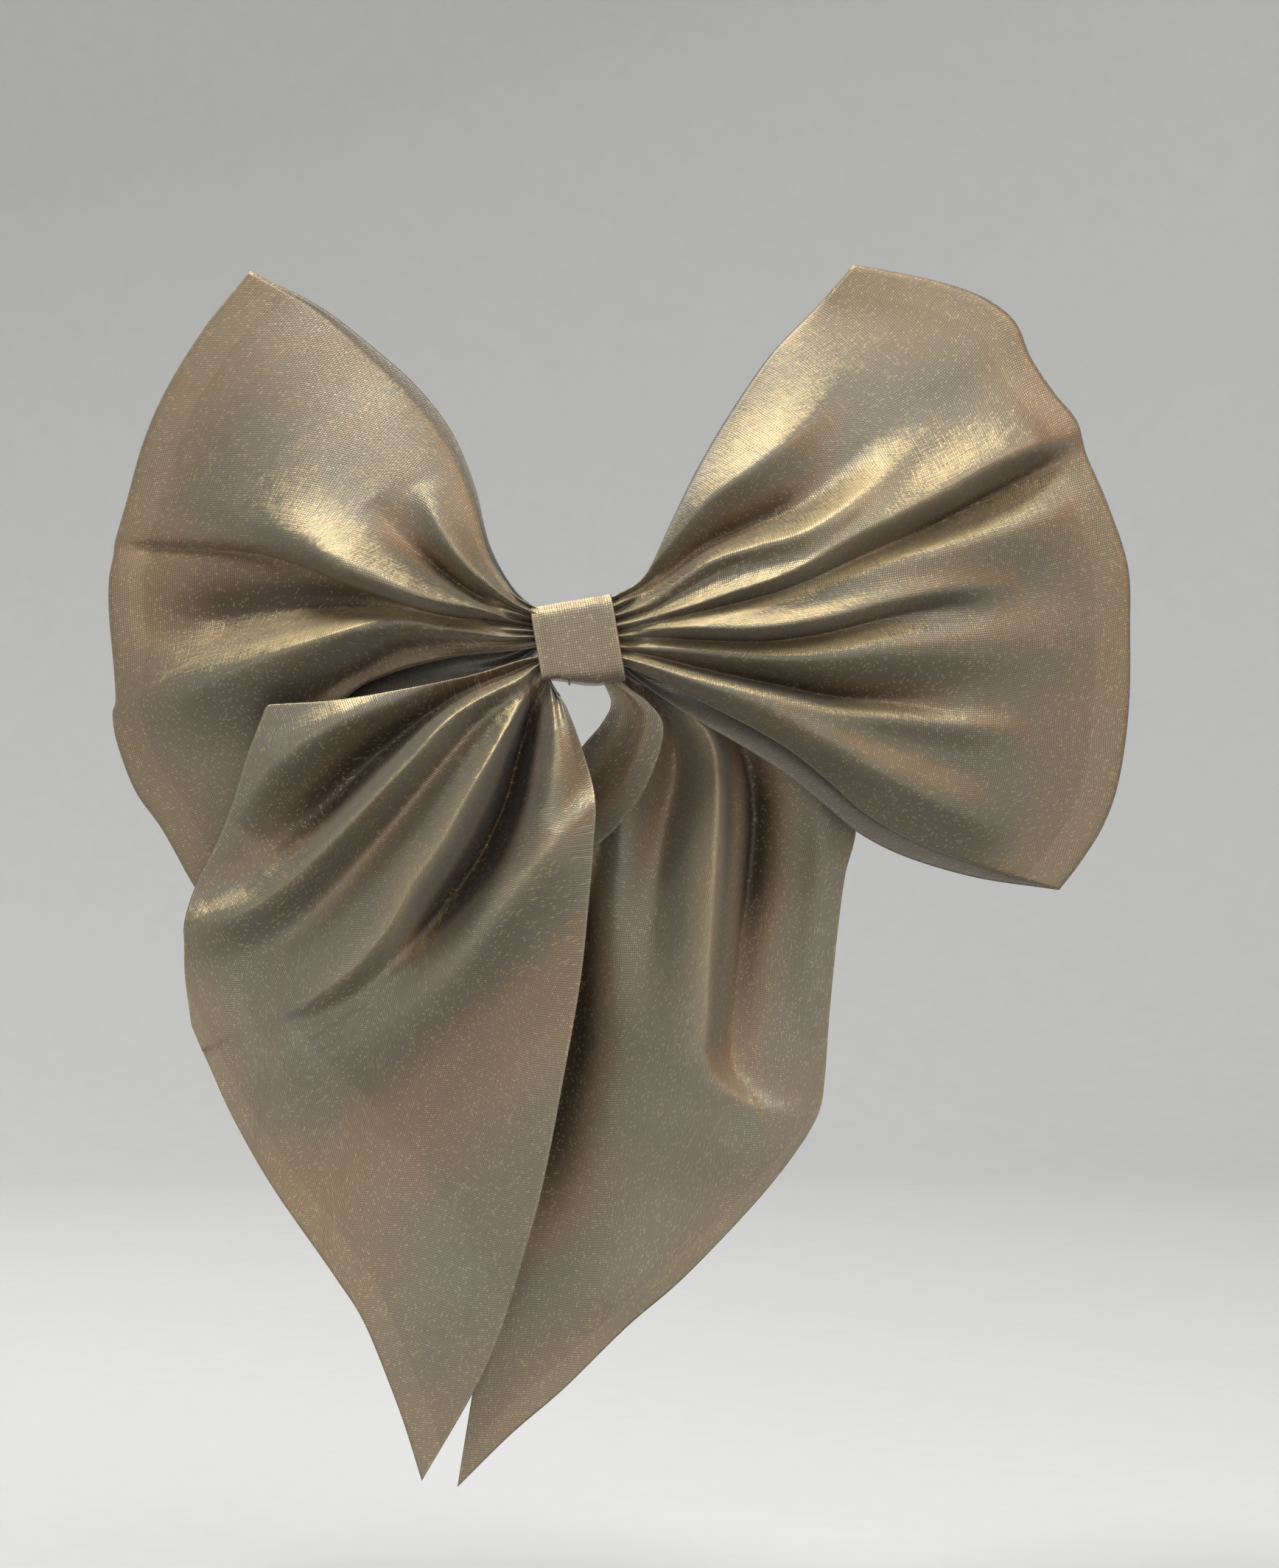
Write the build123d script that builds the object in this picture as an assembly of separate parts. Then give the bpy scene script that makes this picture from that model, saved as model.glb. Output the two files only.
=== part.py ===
from build123d import *
import math
import os

# A large hair bow of thin cloth on a spring barrette.
# +Z is up as the bow is worn, -Y is its front, +X is to the right seen from the front.
# The origin is the middle of the face of the clip's arm that lies against the head.

# ---------------------------------------------------------------- driving dimensions, mm
# Loops: how far each reaches from the middle, and how far its corners rise and fall.
left_loop_reach = 92.0
left_loop_rise = 72.5
left_loop_fall = 56.0
right_loop_reach = 108.0
right_loop_rise = 73.8
right_loop_fall = 48.8
# Tails: sideways reach and the drop to the tip of the slanted cut.
left_tail_reach = 76.8
left_tail_drop = 164.1
right_tail_reach = 54.7
right_tail_drop = 166.2
cloth_thickness = 0.6        # the thin cloth, given a body thick enough to weigh and collide
loop_swell = 8.0             # how far the front layer stands out between knot and end
back_swell = 1.5             # the same for the back layer, towards the head
end_setback = 19.0           # the loops' ends lie this far behind the knot's front face
seam_gap = 0.6               # between the two layers where the end seam joins them
seam_width = 1.4

# Knot band, worn at a slight tilt.
band_width = 15.8            # along the clip
band_height = 17.0
band_depth = 15.4            # front to back, round the necks and the clip's bar
band_wall = 0.8
band_corner = 2.0
band_tilt = 9.7              # degrees, right side up
band_drop = 1.1              # the band's middle lies this far below the clip's
thread = 0.35                # thickness of the sewing and gathering threads
thread_turns = 3
thread_pitch = 3.0
stitch_count = 4

# Gathered necks inside the band.
neck_clear = 0.3             # between a neck and its neighbours
loop_neck_height = 9.2
tail_neck_height = 4.2
loop_pleat = 1.3             # half height of the gathers at the neck
tail_pleat = 1.1

# Clip.
clip_length = 82.0
clip_width = 9.0
metal = 0.8                  # the stamped bar and the arm
bar_flat = 13.0              # straight length at each end of the curved bar
bar_bow = 4.2                # how far the bar's middle bows to the front
hair_gap = 5.6               # between the arm and the crown of the leaf
leaf_crown = 2.2             # how far the leaf bows towards the arm
leaf_width = 5.6
leaf_metal = 0.3
leaf_foot = 4.5
bridge_metal = 0.5
bridge_width = 2.4
pin_diameter = 1.2
pin_from_end = 4.0
pin_head = 0.4
knuckle_wall = 0.85
ear_length = 5.4
arm_side_clear = 0.2         # between the arm and each ear
arm_overhang = 1.8           # the arm's finger lip past the end of the bar
prong_width = 3.0
prong_metal = 0.6
prong_spacing = 3.0          # clear space between the two prongs
prong_above = 3.0            # the prong tips stand this far past the arm
barb = 0.5
barb_height = 1.3
window_clear = 0.15          # between a barb and the side of the arm's window
window_end_clear = 0.4
catch_length = 6.0
catch_metal = 0.5
rivet_diameter = 1.4
rivet_head = 2.2
rivet_head_height = 0.4
sewing_hole = 2.0
sewing_hole_place = 15.0     # from the middle, each side of the band

# Named clearances.
pin_running = 0.05           # radial, arm on pin
pin_seated = 0.02            # radial, pin in ears
leaf_seat = 0.05
root_clear = 0.15            # under each prong
thread_clear = 0.15

rows = 6                     # steps from the knot to the end of each cloth fan
columns = 12                 # steps across the cloth

# ---------------------------------------------------------------- depths, front is -Y
arm_inner = -metal
leaf_crown_face = arm_inner - hair_gap
leaf_foot_face = leaf_crown_face - leaf_crown
bar_end_inner = leaf_foot_face - leaf_metal - leaf_seat
bar_end_front = bar_end_inner - metal
bar_middle_inner = bar_end_inner - bar_bow
bar_middle_front = bar_middle_inner - metal
bar_curve_end = clip_length / 2 - bar_flat
bar_radius = (bar_curve_end ** 2 + bar_bow ** 2) / (2 * bar_bow)


def bar_sag(x):
    """How far the curved bar has fallen back from its middle at a place along it."""
    return bar_radius - math.sqrt(bar_radius ** 2 - x ** 2)


# Where the cloth starts to fan out, each side, just past the tilted band's lower corner.
tilt = math.radians(band_tilt)
neck_exit = (band_width * math.cos(tilt) + band_height * math.sin(tilt)) / 2 + 2 * neck_clear
band_back = bar_middle_inner + bar_sag(neck_exit + 1.0) + neck_clear + band_wall
band_front = band_back - band_depth
necks_back = bar_middle_front - neck_clear - thread - neck_clear
necks_front = band_front + band_wall + neck_clear + thread + neck_clear

loop_front_y = necks_front + loop_pleat + cloth_thickness / 2
loop_back_y = loop_front_y + 2 * loop_pleat + cloth_thickness + neck_clear + 1.2
left_tail_y = necks_front + tail_pleat + cloth_thickness
right_tail_y = necks_back - tail_pleat - cloth_thickness
loop_end_y = band_front + end_setback
back_end_y = loop_end_y + cloth_thickness + seam_gap

# Heights of the necks inside the band.
tilt_slope = math.tan(tilt)
band_top = -band_drop + band_height / 2 - band_wall
band_bottom = -band_drop - band_height / 2 + band_wall
loop_neck_top = band_top - thread - 2 * neck_clear
loop_neck_bottom = loop_neck_top - loop_neck_height
tail_neck_bottom = band_bottom + thread + 2 * neck_clear
tail_neck_top = tail_neck_bottom + tail_neck_height

# Places along the clip.
clip_end = clip_length / 2
hinge_x = -clip_end + pin_from_end
hinge_y = -(pin_diameter / 2 + pin_running + knuckle_wall)
catch_x = clip_end - catch_length / 2 - 1.0
ear_inner = clip_width / 2 - metal
arm_width = 2 * (ear_inner - arm_side_clear)
arm_end = clip_end + arm_overhang
prong_inner = prong_spacing / 2
prong_outer = prong_inner + prong_metal
window_half = prong_outer + barb + window_clear
catch_top = bar_end_inner + catch_metal


# ---------------------------------------------------------------- helpers
def between(a, b, share):
    return a + (b - a) * share


def ease(share):
    return share * share * (3 - 2 * share)


def neck_z(height, x):
    """Height of a point of the necks, which follow the tilt of the band."""
    return height + x * tilt_slope


def outline(start, fractions, reach, rise, fall):
    """A smooth edge from a start point through points given as shares of the fan's size."""
    points = [start]
    for across, up in fractions:
        points.append((across * reach, up * (rise if up > 0 else fall)))
    return Spline(*[(x, 0, z) for x, z in points])


def fan(near, end, far, depth):
    """Rows of points from the neck out to the end of a gathered piece of cloth."""
    grid = []
    for i in range(rows + 1):
        u = i / rows
        near_bend = near @ u - between(near @ 0, near @ 1, u)
        far_bend = far @ u - between(far @ 0, far @ 1, u)
        row = []
        for j in range(columns + 1):
            v = j / columns
            straight = between(between(near @ 0, far @ 0, v), end @ v, u)
            place = straight + near_bend * (1 - v) + far_bend * v
            row.append(Vector(place.X, depth(u, v), place.Z))
        grid.append(row)
    return grid


def cloth(grid, thickness=cloth_thickness):
    """A closed sheet of even thickness, front to back, through a grid of points."""
    half = Vector(0, thickness / 2, 0)
    front = [[point - half for point in row] for row in grid]
    back = [[point + half for point in row] for row in grid]
    last_row, last_column = len(grid) - 1, len(grid[0]) - 1
    faces = []
    for side in (front, back):
        for i in range(last_row):
            for j in range(last_column):
                a, b, c, d = side[i][j], side[i + 1][j], side[i + 1][j + 1], side[i][j + 1]
                faces.append(Face(Wire.make_polygon([a, b, c], close=True)))
                faces.append(Face(Wire.make_polygon([a, c, d], close=True)))
    rim = [(i, 0) for i in range(last_row)] + [(last_row, j) for j in range(last_column)]
    rim += [(i, last_column) for i in range(last_row, 0, -1)]
    rim += [(0, j) for j in range(last_column, 0, -1)]
    for (i, j), (m, n) in zip(rim, rim[1:] + rim[:1]):
        corners = [front[i][j], front[m][n], back[m][n], back[i][j]]
        faces.append(Face(Wire.make_polygon(corners, close=True)))
    return Solid(Shell(faces))


def plate(x_low, x_high, y_low, y_high, z_low, z_high):
    """A straight block given by its two corners."""
    size = (x_high - x_low, y_high - y_low, z_high - z_low)
    middle = ((x_low + x_high) / 2, (y_low + y_high) / 2, (z_low + z_high) / 2)
    return Pos(*middle) * Box(*size)


def upright_pin(x, y, radius, length, z=0.0):
    """A round pin along Z."""
    return Pos(x, y, z) * Cylinder(radius, length)


def through_pin(x, z, radius, y_low, y_high):
    """A round pin along Y."""
    turned = Pos(x, (y_low + y_high) / 2, z) * Rot(90, 0, 0)
    return turned * Cylinder(radius, y_high - y_low)


def ring(depth, height, corner, wall, length):
    """A rounded loop round the necks, open along X."""
    outer = RectangleRounded(depth, height, corner)
    inner = RectangleRounded(depth - 2 * wall, height - 2 * wall, max(corner - wall, 0.5))
    turned = Plane((0, 0, 0), x_dir=(0, 1, 0), z_dir=(1, 0, 0))
    return extrude(turned * (outer - inner), length / 2, both=True)


def curved_strip(half_span, y_end, y_middle, thickness, width, tail):
    """A strip along X, arched in the middle and straight for the last stretch at each end."""
    end = half_span + tail
    y_end_back, y_middle_back = y_end + thickness, y_middle + thickness
    path = [
        Line((-end, y_end), (-half_span, y_end)),
        ThreePointArc((-half_span, y_end), (0, y_middle), (half_span, y_end)),
        Line((half_span, y_end), (end, y_end)),
        Line((end, y_end), (end, y_end_back)),
        Line((end, y_end_back), (half_span, y_end_back)),
        ThreePointArc((half_span, y_end_back), (0, y_middle_back), (-half_span, y_end_back)),
        Line((-half_span, y_end_back), (-end, y_end_back)),
        Line((-end, y_end_back), (-end, y_end)),
    ]
    return extrude(make_face(path), width / 2, both=True)


# ---------------------------------------------------------------- loops
def loop_edges(side):
    """Upper, outer and lower edges of one loop: side is -1 on the left, 1 on the right."""
    exit_x = side * neck_exit
    top = (exit_x, neck_z(loop_neck_top, exit_x))
    bottom = (exit_x, neck_z(loop_neck_bottom, exit_x))
    if side < 0:
        size = (-left_loop_reach, left_loop_rise, left_loop_fall)
        upper = [(0.19, 0.22), (0.27, 0.51), (0.44, 0.765), (0.70, 1.0)]
        outer = [(0.88, 0.68), (0.985, 0.30), (1.0, 0.0), (0.985, -0.36), (0.89, -0.70),
                 (0.77, -1.0)]
        lower = [(0.33, -0.10), (0.50, -0.22), (0.63, -0.50), (0.77, -1.0)]
    else:
        size = (right_loop_reach, right_loop_rise, right_loop_fall)
        upper = [(0.13, 0.19), (0.214, 0.44), (0.347, 0.75), (0.498, 1.0)]
        outer = [(0.69, 0.94), (0.80, 0.82), (0.90, 0.60), (0.97, 0.32), (1.0, 0.0),
                 (0.98, -0.54), (0.87, -1.0)]
        lower = [(0.20, -0.23), (0.383, -0.45), (0.51, -0.68), (0.72, -0.90), (0.87, -1.0)]
    corner = (upper[-1][0] * size[0], upper[-1][1] * size[1])
    return (outline(top, upper, *size), outline(corner, outer, *size),
            outline(bottom, lower, *size))


def loop_depth(neck_y, end_y, swell):
    """How a layer of the loops lies: gathered at the neck, swelling, flat at its end."""
    def depth(u, v):
        gather = loop_pleat * math.cos(6 * math.pi * v) * (1 - u) ** 1.5
        stand = swell * math.sin(math.pi * u) * math.sin(math.pi * v)
        return between(neck_y, end_y, ease(u)) + gather - stand
    return depth


def loop_layer(neck_y, end_y, swell):
    depth = loop_depth(neck_y, end_y, swell)
    left = fan(*loop_edges(-1), depth)
    right = fan(*loop_edges(1), depth)
    return left[::-1] + right


def end_seam(front_row, back_row):
    """A narrow line of thread between the two layers, along the outer end of a loop."""
    inward = [Vector(-math.copysign(seam_width, p.X), 0, 0) for p in front_row]
    middle = [(a + b) / 2 for a, b in zip(front_row, back_row)]
    margin = Vector(0.1 * seam_width, 0, 0)
    outer = [p - margin * math.copysign(1, p.X) for p in middle]
    inner = [p + step for p, step in zip(middle, inward)]
    return cloth([outer[1:-1], inner[1:-1]], seam_gap - 2 * thread_clear)


# ---------------------------------------------------------------- tails
def tail_edges(side):
    """Outer selvage, slanted cut and inner selvage of one tail."""
    exit_x = side * neck_exit
    top = (exit_x, neck_z(tail_neck_top, exit_x))
    bottom = (exit_x, neck_z(tail_neck_bottom, exit_x))
    if side < 0:
        size = (-left_tail_reach, left_tail_drop, left_tail_drop)
        selvage = [(0.45, -0.068), (0.74, -0.078), (0.87, -0.19), (1.0, -0.338), (0.98, -0.458)]
        cut = [(0.765, -0.66), (0.56, -0.818), (0.40, -1.0)]
        inner = [(0.0, -0.134), (-0.044, -0.19), (-0.005, -0.40), (0.117, -0.69), (0.40, -1.0)]
    else:
        size = (right_tail_reach, right_tail_drop, right_tail_drop)
        selvage = [(0.45, -0.048), (0.82, -0.09), (0.99, -0.19), (0.945, -0.30), (0.90, -0.434),
                   (0.83, -0.595)]
        cut = [(0.587, -0.68), (0.175, -0.81), (-0.242, -0.938), (-0.436, -1.0)]
        inner = [(0.20, -0.08), (0.04, -0.22), (-0.12, -0.42), (-0.27, -0.70), (-0.436, -1.0)]
    corner = (selvage[-1][0] * size[0], selvage[-1][1] * size[2])
    return (outline(top, selvage, *size), outline(corner, cut, *size),
            outline(bottom, inner, *size))


def left_tail_depth(u, v):
    """The left tail passes over the left loop, then falls back to the loops' ends."""
    gather = tail_pleat * math.cos(4 * math.pi * v) * (1 - u) ** 1.5
    over_loop = -6.5 * math.sin(math.pi * min(1.0, 1.25 * u))
    return between(left_tail_y, loop_end_y - 1.5, ease(u)) + gather + over_loop


def right_tail_depth(u, v):
    """The right tail drops back behind the right loop at once and hangs flat."""
    gather = tail_pleat * math.cos(4 * math.pi * v) * (1 - u) ** 2
    drop = ease(min(1.0, 3 * u))
    return between(right_tail_y, back_end_y + 1.5, drop) + gather


def tail(side, depth):
    """One tail, with the short length of its neck that the band holds."""
    grid = fan(*tail_edges(side), depth)
    back_to = -side * (neck_exit - 2.0)
    step = back_to - side * neck_exit
    inside = [point + Vector(step, 0, step * tilt_slope) for point in grid[0]]
    return cloth([inside] + grid)


# ---------------------------------------------------------------- band and threads
def in_band_frame(shape):
    middle_y = (band_front + band_back) / 2
    return Pos(0, middle_y, -band_drop) * Rot(0, -band_tilt, 0) * shape


def knot_band():
    return in_band_frame(ring(band_depth, band_height, band_corner, band_wall, band_width))


def gathering_thread():
    """A few turns of thread round all the necks, hidden inside the band."""
    depth = necks_back - necks_front + 2 * (thread + neck_clear)
    height = band_height - 2 * band_wall - 2 * neck_clear
    forward = (necks_front + necks_back) / 2 - (band_front + band_back) / 2
    turns = []
    for k in range(thread_turns):
        place = (k - (thread_turns - 1) / 2) * thread_pitch
        loop = ring(depth, height, thread + 0.5, thread, thread)
        turns.append(in_band_frame(Pos(place, forward, 0) * loop))
    return turns


def band_stitches():
    """Short stitches along the line where the band is closed, on its back face."""
    pitch = band_width / (stitch_count + 1)
    depth = band_depth / 2 + thread / 2 + 0.02
    stitches = []
    for k in range(stitch_count):
        place = (k - (stitch_count - 1) / 2) * pitch
        stitch = Box(thread, thread, 2.6)
        stitches.append(in_band_frame(Pos(place, depth, 0) * Rot(0, 20, 0) * stitch))
    return stitches


def clip_stitches():
    """A loop of thread through each sewing hole and round the bar's upper edge."""
    loops = []
    for side in (-1, 1):
        x = side * sewing_hole_place
        inner_height = clip_width / 2 + thread_clear + 0.1
        outer_height = inner_height + 2 * thread
        depth = metal + 4 * thread_clear + 2 * thread
        loop = ring(depth, outer_height, 0.5, thread, thread)
        middle_z = inner_height / 2 - 0.1
        loops.append(Pos(x, bar_middle_front + metal / 2 + bar_sag(x), middle_z) * loop)
    return loops


# ---------------------------------------------------------------- clip
def clip_base():
    bar = curved_strip(bar_curve_end, bar_end_front, bar_middle_front, metal, clip_width, bar_flat)
    trim = extrude(Plane.XZ * RectangleRounded(clip_length, clip_width, 2.0), 60, both=True)
    bar = bar & trim
    for side in (-1, 1):
        z_low, z_high = sorted((side * ear_inner, side * clip_width / 2))
        ear = plate(hinge_x - ear_length / 2, hinge_x + ear_length / 2,
                    bar_end_front, hinge_y, z_low, z_high)
        top = upright_pin(hinge_x, hinge_y, ear_length / 2, metal, (z_low + z_high) / 2)
        top = top & plate(hinge_x - ear_length, hinge_x + ear_length,
                          hinge_y - ear_length, -hinge_y - metal, z_low, z_high)
        bar = bar + ear + top
        bridge_x = side * (bar_curve_end + 1.0 + bridge_width / 2)
        slot_top = bar_end_inner + leaf_seat + leaf_metal + leaf_seat
        bridge = plate(bridge_x - bridge_width / 2, bridge_x + bridge_width / 2, bar_end_inner,
                       slot_top + bridge_metal, -leaf_width / 2 - 0.7, leaf_width / 2 + 0.7)
        slot = plate(bridge_x - bridge_width, bridge_x + bridge_width, bar_end_inner,
                     slot_top, -leaf_width / 2 - 0.2, leaf_width / 2 + 0.2)
        bar = bar + (bridge - slot)
        x = side * sewing_hole_place
        bar = bar - through_pin(x, 0, sewing_hole / 2, bar_middle_front - 5, bar_end_inner + 5)
    bar = bar - upright_pin(hinge_x, hinge_y, pin_diameter / 2 + pin_seated, 2 * clip_width)
    shank = rivet_diameter / 2 + pin_seated
    return bar - through_pin(catch_x, 0, shank, bar_end_front - 5, bar_end_inner + 1)


def clip_arm():
    knuckle = upright_pin(hinge_x, hinge_y, -hinge_y, arm_width)
    length = arm_end - hinge_x
    blank = Rectangle(length, arm_width)
    blank = fillet(blank.vertices().filter_by_position(Axis.X, length / 2 - 1, length), 2.4)
    window = Rectangle(prong_width + 2 * window_end_clear, 2 * window_half)
    middle = (hinge_x + arm_end) / 2
    blank = blank - Pos(catch_x - middle, 0) * window
    flat = extrude(blank, metal)
    arm = Pos(middle, -metal, 0) * Rot(-90, 0, 0) * flat
    return (arm + knuckle) - upright_pin(hinge_x, hinge_y, pin_diameter / 2 + pin_running, 30)


def hinge_pin():
    pin = upright_pin(hinge_x, hinge_y, pin_diameter / 2, clip_width + pin_head)
    for side in (-1, 1):
        place = side * (clip_width + pin_head + 0.02) / 2
        pin = pin + upright_pin(hinge_x, hinge_y, pin_diameter * 0.8, pin_head, place)
    return pin


def tension_leaf():
    half = bar_curve_end - 1.5
    return curved_strip(half, leaf_foot_face - leaf_metal, leaf_crown_face - leaf_metal,
                        leaf_metal, leaf_width, leaf_foot)


def catch_plate():
    shank = rivet_diameter / 2 + pin_seated
    foot = plate(catch_x - catch_length / 2, catch_x + catch_length / 2, bar_end_inner,
                 catch_top, -prong_outer - 0.3, prong_outer + 0.3)
    return foot - through_pin(catch_x, 0, shank, bar_end_inner - 1, catch_top + 1)


def catch_prong(side):
    """One leg of the catch: a springy strip with a barb above the arm's window."""
    root = catch_top + root_clear
    profile = [(root, prong_inner), (prong_above, prong_inner), (prong_above, prong_outer - 0.2),
               (prong_above - 0.6, prong_outer), (0.25 + barb_height, prong_outer),
               (0.25, prong_outer + barb), (0.25, prong_outer), (root, prong_outer)]
    strip = make_face(Polyline([(0, y, side * z) for y, z in profile], close=True))
    return extrude(Pos(catch_x, 0, 0) * strip, prong_width / 2, dir=(1, 0, 0), both=True)


def catch_rivet():
    rivet = through_pin(catch_x, 0, rivet_diameter / 2, bar_end_front - rivet_head_height,
                        catch_top + rivet_head_height)
    for low in (bar_end_front - rivet_head_height, catch_top):
        rivet = rivet + through_pin(catch_x, 0, rivet_head / 2, low, low + rivet_head_height)
    return rivet


# ---------------------------------------------------------------- the pieces
front_layer = loop_layer(loop_front_y, loop_end_y, loop_swell)
back_layer = loop_layer(loop_back_y, back_end_y, -back_swell)
pieces = {
    "loop_front_panel": cloth(front_layer),
    "loop_back_panel": cloth(back_layer),
    "end_seam_left": end_seam(front_layer[0], back_layer[0]),
    "end_seam_right": end_seam(front_layer[-1], back_layer[-1]),
    "tail_left": tail(-1, left_tail_depth),
    "tail_right": tail(1, right_tail_depth),
    "knot_band": knot_band(),
    "knot_band_stitches": band_stitches(),
    "gathering_thread": gathering_thread(),
    "clip_base": clip_base(),
    "clip_arm": clip_arm(),
    "hinge_pin": hinge_pin(),
    "tension_leaf": tension_leaf(),
    "catch_plate": catch_plate(),
    "catch_prong_upper": catch_prong(1),
    "catch_prong_lower": catch_prong(-1),
    "catch_rivet": catch_rivet(),
    "clip_stitches": clip_stitches(),
}

os.makedirs("parts", exist_ok=True)
for name, shape in pieces.items():
    if isinstance(shape, list):
        shape = Compound(children=[Solid(piece.solids()[0].wrapped) for piece in shape])
    export_step(shape, f"parts/{name}.step")
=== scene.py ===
import math

import bpy
import numpy as np
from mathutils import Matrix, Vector
from mathutils.bvhtree import BVHTree


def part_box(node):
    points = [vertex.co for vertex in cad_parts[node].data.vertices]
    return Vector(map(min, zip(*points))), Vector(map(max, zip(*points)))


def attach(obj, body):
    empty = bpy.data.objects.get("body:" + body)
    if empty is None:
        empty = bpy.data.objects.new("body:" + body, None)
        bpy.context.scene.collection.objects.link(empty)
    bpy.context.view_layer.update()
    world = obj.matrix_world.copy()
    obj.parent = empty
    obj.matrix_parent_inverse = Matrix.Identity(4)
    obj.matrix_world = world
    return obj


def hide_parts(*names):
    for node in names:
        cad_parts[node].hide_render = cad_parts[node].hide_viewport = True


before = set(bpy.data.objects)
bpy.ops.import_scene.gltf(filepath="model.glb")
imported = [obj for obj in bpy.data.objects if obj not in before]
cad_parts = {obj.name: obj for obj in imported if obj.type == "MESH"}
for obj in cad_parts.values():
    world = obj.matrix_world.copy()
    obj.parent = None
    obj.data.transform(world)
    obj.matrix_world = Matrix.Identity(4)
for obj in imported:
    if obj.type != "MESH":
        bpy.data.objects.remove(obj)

# A large hair bow of shot satin organza on a spring barrette.
# +Z is up, -Y is the bow's front. Shapes are worked out in millimetres and placed in metres.
MM = 0.001
for spare in ("Cube", "Camera", "Light"):
    if spare in bpy.data.objects:
        bpy.data.objects.remove(bpy.data.objects[spare])
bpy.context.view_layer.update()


def box_mm(node):
    """Lowest and highest corners of a node of the frame, in millimetres."""
    low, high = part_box(node)
    return np.array(low) / MM, np.array(high) / MM


band_low, band_high = box_mm("knot_band")
front_high = box_mm("loop_front_panel")[1]
back_high = box_mm("loop_back_panel")[1]
left_high = box_mm("tail_left")[1]
right_high = box_mm("tail_right")[1]

BAND_TILT = math.radians(9.7)
BAND_WIDTH = 15.8
BAND_HEIGHT = 17.0
BAND_MIDDLE = (band_low + band_high) / 2
BAND_DEPTH = band_high[1] - band_low[1]
BAND_WALL = 0.75
BAND_ROUNDNESS = 0.38             # 1 gives the band an oval section, 0 a square one
CLOTH = 0.28                      # thickness of the visible cloth
SEAM_ALLOWANCE = 7.5              # cloth turned inside along each end seam
SEAM_THREAD_RADIUS = 0.22
FAR_FROM_HEM = 40                 # a distance at which a hem no longer shows
LAYER_GAP = 0.7                   # room between a loop's two layers
TAIL_GAP = 0.9                    # room between a tail and the cloth beside it
PLEAT_GAP = 0.6                   # room between the inner pleat and its own tail
GATHER_START = 9                  # distance from the middle where the gathers start to fade
LOOP_NECK_Y = band_low[1] + 3.4   # middle of the front layer's gathers inside the band
LOOP_END_Y = front_high[1] - 0.4
BACK_NECK_Y = LOOP_NECK_Y + 4.6
BACK_END_Y = back_high[1] - 0.5
TAIL_END_Y = left_high[1] - 1.0
HANG_Y = right_high[1] - 1.0      # the plane in which the right tail hangs


# ---------------------------------------------------------------- lines and folds
def smooth_line(points, count):
    """Evenly spaced points on a smooth curve through a few given ones."""
    points = np.array(points, float)
    padded = np.vstack([2 * points[0] - points[1], points, 2 * points[-1] - points[-2]])
    t = np.linspace(0, 1, 24, endpoint=False)[:, None]
    parts = []
    for a, b, c, d in zip(padded, padded[1:], padded[2:], padded[3:]):
        parts.append(0.5 * (2 * b + (c - a) * t + (2 * a - 5 * b + 4 * c - d) * t ** 2
                            + (3 * b - a - 3 * c + d) * t ** 3))
    curve = np.vstack(parts + [points[-1:]])
    steps = np.linalg.norm(np.diff(curve, axis=0), axis=1)
    along = np.concatenate([[0], np.cumsum(steps)])
    wanted = np.linspace(0, along[-1], count)
    return np.stack([np.interp(wanted, along, curve[:, k]) for k in range(curve.shape[1])], 1)


def ease(share):
    share = np.clip(share, 0, 1)
    return share * share * (3 - 2 * share)


def fan(near, end, far, rows, columns):
    """A grid of (x, z) places between two long edges, from the neck out to the end."""
    near_line, far_line = smooth_line(near, rows + 1), smooth_line(far, rows + 1)
    end_line = smooth_line(end, columns + 1)
    u = np.linspace(0, 1, rows + 1)[:, None, None]
    v = np.linspace(0, 1, columns + 1)[None, :, None]

    def bend(line):
        share = np.linspace(0, 1, rows + 1)[:, None]
        return (line - line[0] * (1 - share) - line[-1] * share)[:, None, :]

    start = near_line[0] * (1 - v) + far_line[0] * v
    straight = start * (1 - u) + end_line[None] * u
    return straight + bend(near_line) * (1 - v) + bend(far_line) * v, u[..., 0], v[..., 0]


def fold(places, path, heights, above, below, sharpness=2.0):
    """How far one fold stands to the front at each place.

    The fold follows path from the knot outwards. heights are spread evenly along it, and above
    and below are its widths on either side, each a pair: at the knot and at its far end.
    """
    line = smooth_line(path, 120)
    tangent = np.gradient(line, axis=0)
    tangent /= np.linalg.norm(tangent, axis=1)[:, None]
    flat = places.reshape(-1, 2)
    away = flat[:, None, :] - line[None]
    nearest = np.argmin((away ** 2).sum(-1), axis=1)
    rows = np.arange(len(flat))
    offset, direction = away[rows, nearest], tangent[nearest]
    across = direction[:, 0] * offset[:, 1] - direction[:, 1] * offset[:, 0]
    across *= math.copysign(1, path[-1][0] - path[0][0])
    beyond = (direction * offset).sum(1)
    share = nearest / (len(line) - 1)
    upper = above[0] + (above[1] - above[0]) * share
    lower = below[0] + (below[1] - below[0]) * share
    width = np.where(across > 0, upper, lower)
    height = np.interp(share, np.linspace(0, 1, len(heights)), heights)
    distance = np.sqrt(across ** 2 + 0.04) / width
    shape = np.exp(-distance ** sharpness) * np.exp(-(beyond / (2 * width)) ** 2)
    return (height * shape).reshape(places.shape[:-1])


def folds(places, table):
    return sum(fold(places, *row) for row in table)


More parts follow.
